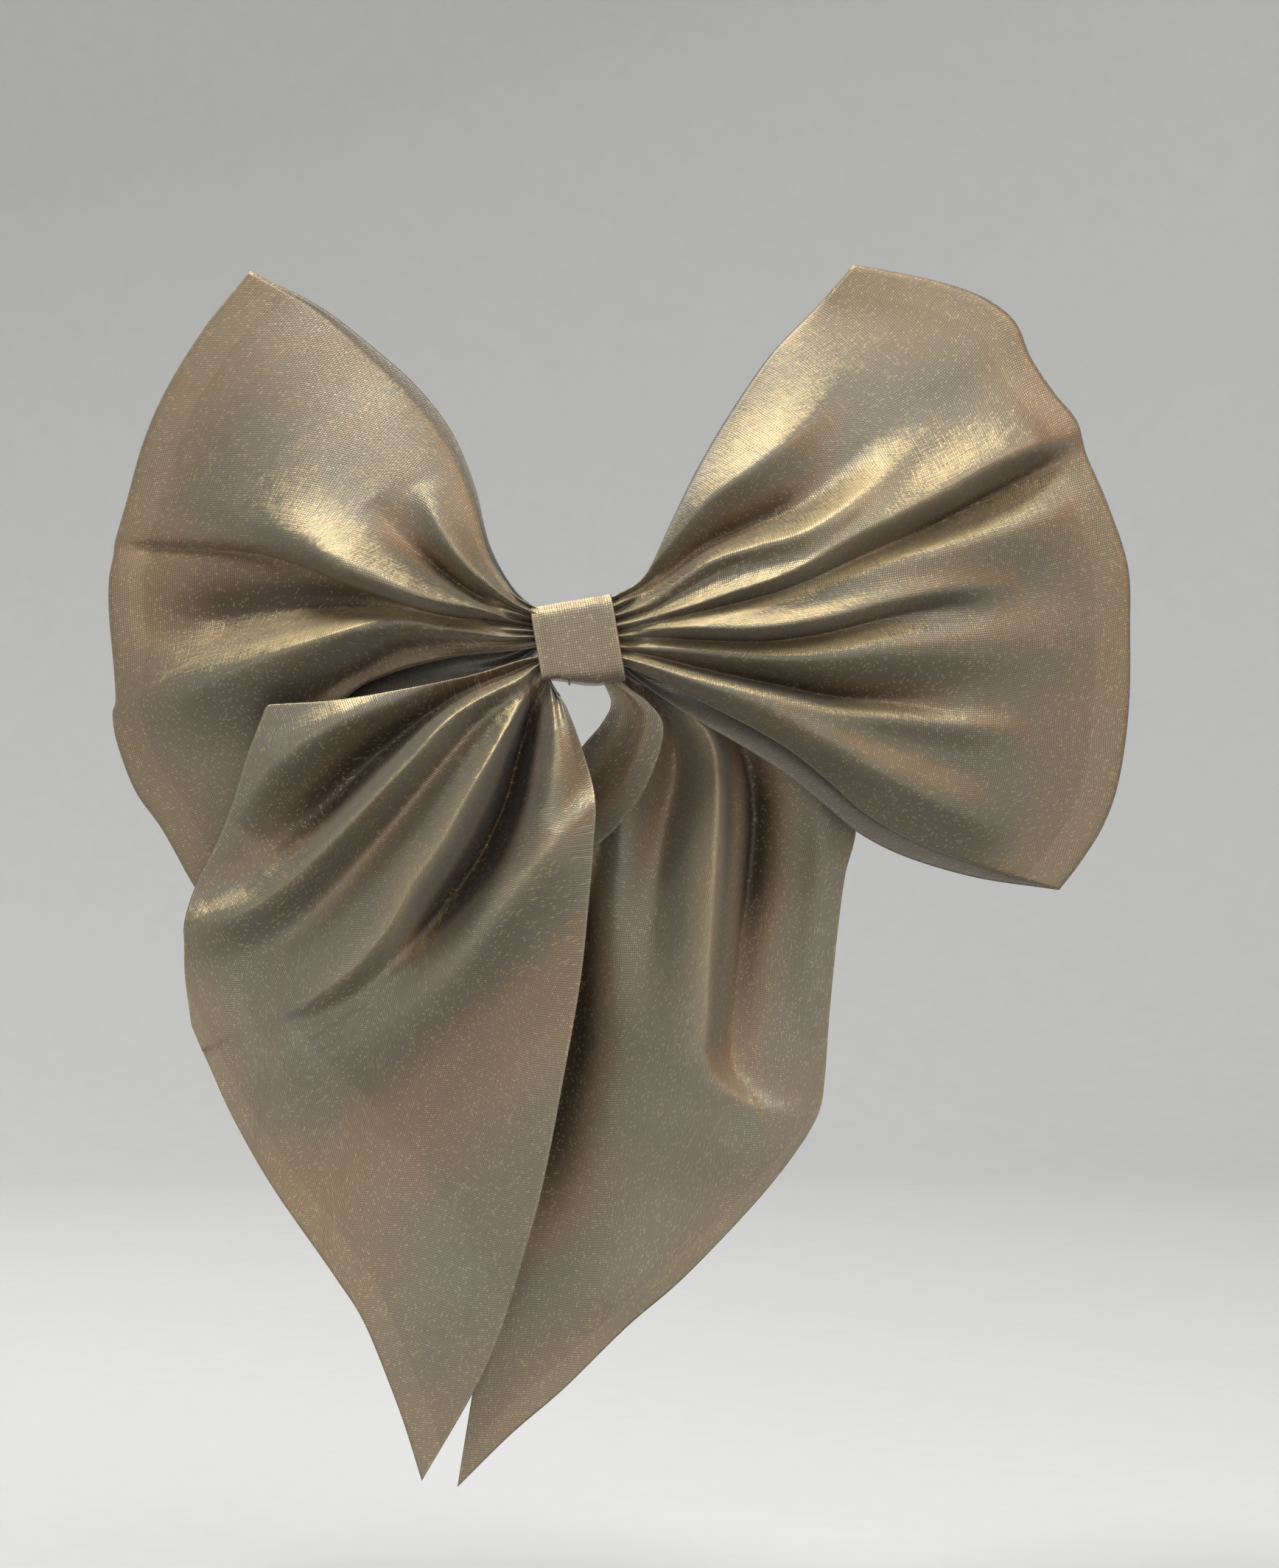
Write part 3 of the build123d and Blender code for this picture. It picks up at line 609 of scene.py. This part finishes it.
def weave_and_painted_light_group():
    """Warp and weft of different colours, with painted light: the colour turns with the lie of the
    cloth, as a painted highlight and painted sheen where it faces the lamps or stands on a fold, and
    painted shade where it faces down or lies in a crease.
    """
    tree, given, out = new_group(
        "weave_and_painted_light",
        [("Place", "Vector"), ("Facing", "Vector"), ("Hem", "Float"), ("Rim", "Float"),
         ("Relief", "Float"), ("Pitch", "Float"), ("Ground", "Color"), ("Gleam", "Color"),
         ("Warm", "Color"), ("Deep", "Color")],
        [("Color", "Color"), ("Roughness", "Float"), ("Height", "Float")])
    facing = tree.nodes.new("ShaderNodeSeparateXYZ")
    tree.links.new(given["Facing"], facing.inputs[0])
    either = tree.nodes.new("ShaderNodeCombineXYZ")
    outward = calc(tree, "MULTIPLY", calc(tree, "ABSOLUTE", facing.outputs[1]), -1.0)
    for k, part in enumerate((facing.outputs[0], outward, facing.outputs[2])):
        tree.links.new(part, either.inputs[k])
    facing = either.outputs[0]
    apart = tree.nodes.new("ShaderNodeSeparateXYZ")
    tree.links.new(given["Place"], apart.inputs[0])
    warp_place = calc(tree, "DIVIDE", apart.outputs[0], given["Pitch"])
    weft_place = calc(tree, "DIVIDE", apart.outputs[1], given["Pitch"])
    warp, weft = calc(tree, "FLOOR", warp_place), calc(tree, "FLOOR", weft_place)
    over = calc(tree, "MODULO", calc(tree, "ABSOLUTE", calc(tree, "ADD", warp, weft)), 2.0)
    warp_turn = calc(tree, "MULTIPLY", calc(tree, "FRACT", warp_place), math.pi)
    warp_round = calc(tree, "SINE", warp_turn)
    weft_turn = calc(tree, "MULTIPLY", calc(tree, "FRACT", weft_place), math.pi)
    weft_round = calc(tree, "SINE", weft_turn)
    warp_tint = noise(tree, given["Place"], 1.0, 2.0, (2.4, 0.22, 1))
    weft_tint = noise(tree, given["Place"], 1.0, 2.0, (0.22, 2.4, 1))
    tint = chosen(tree, over, warp_tint, weft_tint)
    relief = chosen(tree, over, calc(tree, "MULTIPLY", warp_round, calc(tree, "SQRT", weft_round)),
                    calc(tree, "MULTIPLY", weft_round, calc(tree, "SQRT", warp_round)))
    cell = tree.nodes.new("ShaderNodeCombineXYZ")
    tree.links.new(warp, cell.inputs[0])
    tree.links.new(weft, cell.inputs[1])
    # Painted glints: a random share of weave cells take the highlight colour, more of them inside
    # the painted highlight.
    chance = tree.nodes.new("ShaderNodeTexWhiteNoise")
    tree.links.new(cell.outputs[0], chance.inputs["Vector"])
    painted_glint = between(tree, chance.outputs["Value"], 0.80, 1.0)
    cloud = noise(tree, given["Place"], 0.05, 3.0)
    # Painted highlight: lift is how far the cloth faces up, front and a little left, toward the key
    # lamp; with a little noise, and more on folds, it mixes in the highlight colour.
    lift = toward(tree, facing, (-0.12, -0.60, 0.79))
    stir = calc(tree, "MULTIPLY", calc(tree, "SUBTRACT", tint, 0.5), 0.35)
    stirred = calc(tree, "ADD", lift, stir)
    on_fold = between(tree, given["Relief"], -0.6, 3.2, 0.38, 1.0)
    painted_highlight = calc(tree, "MULTIPLY", between(tree, stirred, 0.83, 1.00), on_fold)
    # Painted highlight on the high ridges of the folds.
    painted_ridge_highlight = between(tree, given["Relief"], 3.0, 9.0)
    # Painted shade in the creases between folds.
    painted_crease_shade = between(tree, given["Relief"], -0.8, -4.8)
    # Painted shade on cloth that faces down.
    painted_underside_shade = between(tree, toward(tree, facing, (0.1, -0.62, -0.78)), 0.74, 1.0)
    # Painted sheen: cloth facing right and front, toward the right lamp, is mixed toward the warm
    # copper tint.
    side = between(tree, toward(tree, facing, (0.6, -0.75, 0.25)), 0.86, 1.0)
    colour = mix(tree, calc(tree, "MULTIPLY", between(tree, cloud, 0.42, 0.68), 0.10),
                 given["Ground"], given["Warm"])
    # Painted sheen: cloth lying low in the folds is mixed toward the warm copper tint.
    painted_low_fold_sheen = between(tree, given["Relief"], 0.9, -1.6)
    colour = mix(tree, calc(tree, "MULTIPLY", painted_low_fold_sheen, 0.32), colour, given["Warm"])
    fringe = between(tree, given["Hem"], 26.0, 6.0)
    colour = mix(tree, calc(tree, "MULTIPLY", fringe, 0.14), colour, given["Warm"])
    colour = mix(tree, calc(tree, "MULTIPLY", side, 0.45), colour, given["Warm"])
    colour = mix(tree, calc(tree, "MULTIPLY", painted_underside_shade, 0.60), colour, given["Deep"])
    colour = mix(tree, calc(tree, "MULTIPLY", painted_crease_shade, 0.85), colour, given["Deep"])
    shine = calc(tree, "ADD", calc(tree, "MULTIPLY", painted_highlight, 0.72),
                 calc(tree, "MULTIPLY", painted_ridge_highlight, 0.16))
    colour = mix(tree, shine, colour, given["Gleam"])
    painted_glint_share = calc(tree, "ADD", 0.16, calc(tree, "MULTIPLY", painted_highlight, 0.5))
    painted_glint_amount = calc(tree, "MULTIPLY", painted_glint, painted_glint_share)
    colour = mix(tree, painted_glint_amount, colour, given["Gleam"])
    # Thread crowns lighter and their dips darker, painted shade of the weave, mixed with each
    # thread's own tone.
    body = calc(tree, "ADD", calc(tree, "MULTIPLY", relief, 0.70),
                calc(tree, "MULTIPLY", tint, 0.55))
    thread_light = between(tree, body, 0.22, 1.00, 0.60, 1.24)
    folded = between(tree, given["Hem"], SEAM_ALLOWANCE - 0.3, SEAM_ALLOWANCE + 0.3, 1.12, 1.0)
    edge = between(tree, given["Rim"], 0.25, 0.9, 1.22, 1.0)
    light = calc(tree, "MULTIPLY", calc(tree, "MULTIPLY", thread_light, folded), edge)
    grey = tree.nodes.new("ShaderNodeCombineColor")
    for socket in grey.inputs:
        tree.links.new(light, socket)
    tree.links.new(mix(tree, 1.0, colour, grey.outputs[0], "MULTIPLY"), out["Color"])
    tree.links.new(between(tree, tint, 0.3, 0.7, 0.36, 0.52), out["Roughness"])
    tree.links.new(calc(tree, "ADD", relief, tint), out["Height"])
    return tree


def worn_metal_group():
    """Drawn or plated metal: fine lines, a little haze, small marks."""
    tree, given, out = new_group(
        "worn_metal", [("Place", "Vector"), ("Bright", "Color"), ("Dull", "Color")],
        [("Color", "Color"), ("Roughness", "Float"), ("Height", "Float")])
    lines = noise(tree, given["Place"], 7000.0, 2.0, (0.02, 1, 1))
    haze = noise(tree, given["Place"], 220.0, 3.0)
    marks = between(tree, noise(tree, given["Place"], 1500.0, 3.0), 0.64, 0.74)
    share = calc(tree, "ADD", calc(tree, "MULTIPLY", haze, 0.5), calc(tree, "MULTIPLY", marks, 0.25),
                 clamp=True)
    tree.links.new(mix(tree, share, given["Bright"], given["Dull"]), out["Color"])
    rough = calc(tree, "ADD", between(tree, lines, 0.3, 0.7, 0.16, 0.28),
                 calc(tree, "MULTIPLY", share, 0.12))
    tree.links.new(rough, out["Roughness"])
    tree.links.new(calc(tree, "SUBTRACT", lines, calc(tree, "MULTIPLY", marks, 0.3)), out["Height"])
    return tree


weave_and_painted_light, worn_metal = weave_and_painted_light_group(), worn_metal_group()


def material_with(name, group, **inputs):
    material = bpy.data.materials.new(name)
    material.use_nodes = True
    tree = material.node_tree
    shader = tree.nodes["Principled BSDF"]
    surface = tree.nodes.new("ShaderNodeGroup")
    surface.node_tree = group
    for label, value in inputs.items():
        give(tree, surface.inputs[label], value)
    bump = tree.nodes.new("ShaderNodeBump")
    tree.links.new(surface.outputs["Height"], bump.inputs["Height"])
    tree.links.new(surface.outputs["Color"], shader.inputs["Base Color"])
    tree.links.new(surface.outputs["Roughness"], shader.inputs["Roughness"])
    tree.links.new(bump.outputs["Normal"], shader.inputs["Normal"])
    return material, tree, shader, surface, bump


# Colours in order: the cloth's own ground, the painted highlight, a warm tint that is partly its own
# tone and partly painted sheen, and the painted shade.
def cloth_finish(name, ground, painted_highlight, warm, deep, metallic=0.35, pitch=0.46):
    material, tree, shader, surface, bump = material_with(
        name, weave_and_painted_light, Pitch=pitch, Ground=paint(*ground), Gleam=paint(*painted_highlight),
        Warm=paint(*warm), Deep=paint(*deep))
    weave = tree.nodes.new("ShaderNodeUVMap")
    weave.uv_map = "weave"
    tree.links.new(weave.outputs[0], surface.inputs["Place"])
    facing = tree.nodes.new("ShaderNodeNewGeometry")
    tree.links.new(facing.outputs["Normal"], surface.inputs["Facing"])
    for label in ("hem", "rim", "relief"):
        read = tree.nodes.new("ShaderNodeAttribute")
        read.attribute_name = label
        tree.links.new(read.outputs["Fac"], surface.inputs[label.capitalize()])
    bump.inputs["Strength"].default_value = 0.5
    bump.inputs["Distance"].default_value = 0.00006
    shader.inputs["Metallic"].default_value = metallic
    shader.inputs["Sheen Weight"].default_value = 0.12
    shader.inputs["Sheen Roughness"].default_value = 0.4
    return material


def metal_finish(name, bright, dull):
    material, tree, shader, surface, bump = material_with(
        name, worn_metal, Bright=paint(*bright), Dull=paint(*dull))
    place = tree.nodes.new("ShaderNodeTexCoord")
    tree.links.new(place.outputs["Object"], surface.inputs["Place"])
    bump.inputs["Strength"].default_value = 0.10
    bump.inputs["Distance"].default_value = 0.000006
    shader.inputs["Metallic"].default_value = 1.0
    return material


def thread_finish(name, colour):
    """Twisted polyester thread: the twist in its relief, and painted shade darkening the twist's
    grooves in its colour.
    """
    material = bpy.data.materials.new(name)
    material.use_nodes = True
    tree = material.node_tree
    shader = tree.nodes["Principled BSDF"]
    place = tree.nodes.new("ShaderNodeTexCoord").outputs["Object"]
    twist = tree.nodes.new("ShaderNodeTexWave")
    twist.bands_direction = "DIAGONAL"
    twist.inputs["Scale"].default_value = 900.0
    twist.inputs["Distortion"].default_value = 1.5
    tree.links.new(place, twist.inputs["Vector"])
    # Painted shade in the grooves of the twist.
    painted_groove_shade = tuple(0.45 * part for part in colour)
    shade = mix(tree, twist.outputs[1], paint(*painted_groove_shade), paint(*colour))
    tree.links.new(shade, shader.inputs["Base Color"])
    bump = tree.nodes.new("ShaderNodeBump")
    bump.inputs["Distance"].default_value = 0.00005
    tree.links.new(twist.outputs[1], bump.inputs["Height"])
    tree.links.new(bump.outputs["Normal"], shader.inputs["Normal"])
    shader.inputs["Roughness"].default_value = 0.55
    shader.inputs["Sheen Weight"].default_value = 0.3
    return material


# Each cloth has a ground colour, a painted highlight colour, a warm tint and a painted shade colour;
# the warm tint is partly the cloth's own tone and partly painted sheen.
LOOP_CLOTH = cloth_finish("loop_cloth_face", (0.455, 0.430, 0.365), (0.86, 0.76, 0.56),
                          (0.61, 0.46, 0.31), (0.24, 0.195, 0.14))
# The reverse and back panel cloths are cool grey-blue copies of the same cloth: their cool tint is
# painted sheen.
LOOP_INSIDE = cloth_finish("loop_cloth_reverse", (0.43, 0.42, 0.39), (0.70, 0.66, 0.54),
                           (0.50, 0.42, 0.33), (0.25, 0.24, 0.22))
BACK_CLOTH = cloth_finish("back_cloth_face", (0.43, 0.45, 0.47), (0.68, 0.69, 0.66),
                          (0.48, 0.45, 0.40), (0.26, 0.27, 0.28))
TAIL_CLOTH = cloth_finish("tail_cloth_face", (0.490, 0.465, 0.400), (0.92, 0.82, 0.61),
                          (0.62, 0.47, 0.32), (0.21, 0.165, 0.115))
TAIL_INSIDE = cloth_finish("tail_cloth_reverse", (0.44, 0.43, 0.39), (0.70, 0.66, 0.54),
                           (0.50, 0.42, 0.33), (0.26, 0.24, 0.21))
BAND_CLOTH = cloth_finish("band_cloth_face", (0.51, 0.475, 0.40), (0.97, 0.84, 0.58),
                          (0.62, 0.50, 0.37), (0.30, 0.24, 0.18))
NICKEL = metal_finish("nickel_plate_finish", (0.83, 0.82, 0.79), (0.66, 0.65, 0.63))
STEEL = metal_finish("spring_steel_finish", (0.62, 0.63, 0.65), (0.44, 0.45, 0.48))
THREAD = thread_finish("sewing_thread", (0.60, 0.53, 0.42))

loop_front = cloth_piece("loop_front", front_patches, LOOP_CLOTH, LOOP_INSIDE, -1)
loop_back = cloth_piece("loop_back", back_patches, BACK_CLOTH, LOOP_INSIDE, 1)
left_tail_piece = cloth_piece("left_tail", left_patches, TAIL_CLOTH, TAIL_INSIDE, -1)
right_tail_piece = cloth_piece("right_tail", right_patches, TAIL_CLOTH, TAIL_INSIDE, -1)


# ---------------------------------------------------------------- band and seams
def band():
    """The folded strip round the necks and the clip's bar, with rolled edges and a few creases."""
    around, section = 168, 56
    half_width = BAND_WIDTH / 2
    half_depth, half_height = BAND_DEPTH / 2 - BAND_WALL / 2, BAND_HEIGHT / 2 - BAND_WALL / 2
    edge_softness, roll_height, crease_depth, corner_lift = 0.55, 0.45, 0.32, 0.32
    turn = np.linspace(0, 2 * math.pi, around, endpoint=False)[:, None]
    cosine, sine = np.cos(turn), np.sin(turn)
    deep = half_depth * np.sign(cosine) * np.abs(cosine) ** BAND_ROUNDNESS
    high = half_height * np.sign(sine) * np.abs(sine) ** BAND_ROUNDNESS
    bulk = np.hypot(deep / half_depth, high / half_height)
    out_deep, out_high = cosine / bulk ** 0.3, sine / bulk ** 0.3
    size = np.hypot(out_deep, out_high)
    out_deep, out_high = out_deep / size, out_high / size
    step = np.linspace(0, 2 * math.pi, section, endpoint=False)[None, :]
    wide = half_width * np.sign(np.cos(step)) * np.abs(np.cos(step)) ** edge_softness
    thick = BAND_WALL / 2 * np.sign(np.sin(step)) * np.abs(np.sin(step)) ** edge_softness
    outer = np.clip(np.sin(step), 0, 1)
    share = wide / half_width
    edge_roll = roll_height * np.exp(-((1 - np.abs(share)) / 0.10) ** 2)
    front = np.clip(-cosine, 0, 1)
    crease = (0.42 * np.sin(3.1 * math.pi * share + 2.2 * sine + 0.7)
              + 0.25 * np.sin(7.3 * share - 3.0 * sine))
    thick = thick + outer * (edge_roll + front * crease_depth * crease)
    low_left = np.clip(-sine, 0, 1) * ease((0.35 - share) / 1.35) * corner_lift
    deep_all = deep + out_deep * thick
    high_all = (high + out_high * thick) * (1 - low_left)
    x = wide + 0 * turn
    tilted_x = x * math.cos(BAND_TILT) - high_all * math.sin(BAND_TILT)
    tilted_z = x * math.sin(BAND_TILT) + high_all * math.cos(BAND_TILT)
    grid = np.stack([tilted_x + BAND_MIDDLE[0], deep_all + BAND_MIDDLE[1],
                     tilted_z + BAND_MIDDLE[2]], -1)
    index = np.arange(around * section).reshape(around, section)
    after, beside = np.roll(index, -1, 0), np.roll(index, -1, 1)
    faces = np.stack([index, beside, np.roll(after, -1, 1), after], -1).reshape(-1, 4)
    piece = new_object("knot_wrap", grid.reshape(-1, 3), faces, BAND_CLOTH)
    lengths = running_length(grid, 0).mean(axis=1, keepdims=True) + 0 * step
    weave = np.stack([lengths, x], -1).reshape(-1, 2)
    mark_cloth(piece, weave, half_width - np.abs(x), FAR_FROM_HEM + 0 * x, 0 * x)
    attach(piece, "bow")
    return piece


def tube(points, radius, sides=8):
    """Points and faces of a closed round cord along a line, in millimetres."""
    line = np.asarray(points, float)
    tangent = np.gradient(line, axis=0)
    tangent /= np.linalg.norm(tangent, axis=1)[:, None]
    side = np.cross(tangent, (0.0, 1.0, 0.02))
    side /= np.linalg.norm(side, axis=1)[:, None]
    other = np.cross(tangent, side)
    places = []
    for k in range(sides):
        angle = 2 * math.pi * k / sides
        places.append(line + radius * (math.cos(angle) * side + math.sin(angle) * other))
    grid = np.stack(places, 1)
    count = len(line)
    faces = ring_faces(count, sides)
    faces.append(list(range(sides))[::-1])
    faces.append([(count - 1) * sides + k for k in range(sides)])
    return grid.reshape(-1, 3), faces


def end_seam(name, node, front, back):
    """The stitched line that closes a loop, just inside its outer edge and between the layers."""
    edge = (front[-2] + back[-2]) / 2
    line = smooth_line(edge[4:-4:6], 300)
    points, faces = tube(line, SEAM_THREAD_RADIUS)
    piece = new_object(name, points, faces, THREAD)
    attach(piece, "bow")
    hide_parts(node)


def band_stitches():
    """Hand stitches over the line where the band is closed, on its back face."""
    count, half_length, lean, radius = 4, 1.3, math.radians(20), 0.18
    pitch = BAND_WIDTH / (count + 1)
    points, faces, total = [], [], 0
    for k in range(count):
        place = (k - (count - 1) / 2) * pitch
        line = []
        for t in np.linspace(-1, 1, 13):
            x = place + t * half_length * math.sin(lean)
            z = t * half_length * math.cos(lean)
            line.append((BAND_MIDDLE[0] + x * math.cos(BAND_TILT) - z * math.sin(BAND_TILT),
                         band_high[1] - 0.05 + 0.22 * (1 - t ** 4),
                         BAND_MIDDLE[2] + x * math.sin(BAND_TILT) + z * math.cos(BAND_TILT)))
        stitch, stitch_faces = tube(line, radius)
        points.append(stitch)
        faces += [[index + total for index in face] for face in stitch_faces]
        total += len(stitch)
    piece = new_object("band_closing_stitches", np.vstack(points), faces, THREAD)
    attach(piece, "bow")
    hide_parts("knot_band_stitches")


knot_wrap = band()
band_stitches()
end_seam("left_end_seam", "end_seam_left", left_front, left_back)
end_seam("right_end_seam", "end_seam_right", right_front, right_back)

for piece, node, slot in ((loop_front, "loop_front_panel", "loop_cloth"),
                          (loop_back, "loop_back_panel", "back_cloth"),
                          (left_tail_piece, "tail_left", "tail_cloth"),
                          (right_tail_piece, "tail_right", "tail_cloth"),
                          (knot_wrap, "knot_band", "band_cloth")):
    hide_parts(node)

CLIP_FINISHES = {"clip_base": NICKEL, "clip_arm": NICKEL, "hinge_pin": NICKEL,
                 "catch_rivet": NICKEL, "tension_leaf": STEEL, "catch_plate": STEEL,
                 "catch_prong_upper": STEEL, "catch_prong_lower": STEEL,
                 "gathering_thread": THREAD, "clip_stitches": THREAD}
for node, finish in CLIP_FINISHES.items():
    for place in bpy.data.objects[node].material_slots:
        place.material = finish


# ---------------------------------------------------------------- stage, lights, camera
def stage_bowl():
    """A pale floor that curves up into a wall all round."""
    sides, floor_z, flat, bend, wall_top = 96, -0.21, 1.0, 0.5, 2.0
    profile = [(0.0, floor_z), (flat / 2, floor_z), (flat, floor_z)]
    for k in range(1, 13):
        angle = math.pi / 2 * k / 12
        profile.append((flat + bend * math.sin(angle), floor_z + bend * (1 - math.cos(angle))))
    profile.append((flat + bend, wall_top))
    points = [(r * math.cos(2 * math.pi * k / sides), r * math.sin(2 * math.pi * k / sides), z)
              for r, z in profile for k in range(sides)]
    material = bpy.data.materials.new("pale_paper")
    material.use_nodes = True
    tree = material.node_tree
    shader = tree.nodes["Principled BSDF"]
    grain = noise(tree, tree.nodes.new("ShaderNodeTexCoord").outputs["Object"], 90.0, 3.0)
    tone = mix(tree, grain, paint(0.80, 0.80, 0.795), paint(0.82, 0.82, 0.815))
    tree.links.new(tone, shader.inputs["Base Color"])
    shader.inputs["Roughness"].default_value = 0.9
    bowl = new_object("studio_floor", np.array(points) / MM, ring_faces(len(profile), sides),
                      material)


def lamp(name, place, size, power, aim=(0, 0, 0)):
    light = bpy.data.lights.new(name, "AREA")
    light.size, light.energy = size, power
    made = bpy.data.objects.new(name, light)
    made.location = place
    made.rotation_euler = (Vector(aim) - Vector(place)).to_track_quat("-Z", "Y").to_euler()
    bpy.context.collection.objects.link(made)


CAMERA_PLACE = (0.0118, -0.715, -0.028)
CAMERA_LENS = 82.9
AIR_LIGHT = 0.38

stage_bowl()
lamp("key_softbox", (-0.20, -0.42, 0.90), 0.28, 7.8)
lamp("right_softbox", (0.50, -0.50, 0.60), 0.30, 3.0)
lamp("front_fill", (0.0, -1.20, 0.10), 1.0, 3.0)
lamp("rear_fill", (-0.4, 0.7, 0.9), 0.6, 8.0)
world = bpy.data.worlds.new("studio_air")
world.use_nodes = True
world.node_tree.nodes["Background"].inputs["Color"].default_value = (1, 1, 1, 1)
world.node_tree.nodes["Background"].inputs["Strength"].default_value = AIR_LIGHT
bpy.context.scene.world = world

lens = bpy.data.cameras.new("bow_camera")
lens.lens = CAMERA_LENS
camera = bpy.data.objects.new("bow_camera", lens)
camera.location = CAMERA_PLACE
camera.rotation_euler = (math.pi / 2, 0, 0)
bpy.context.collection.objects.link(camera)
bpy.context.scene.camera = camera
bpy.context.scene.view_settings.view_transform = "Standard"
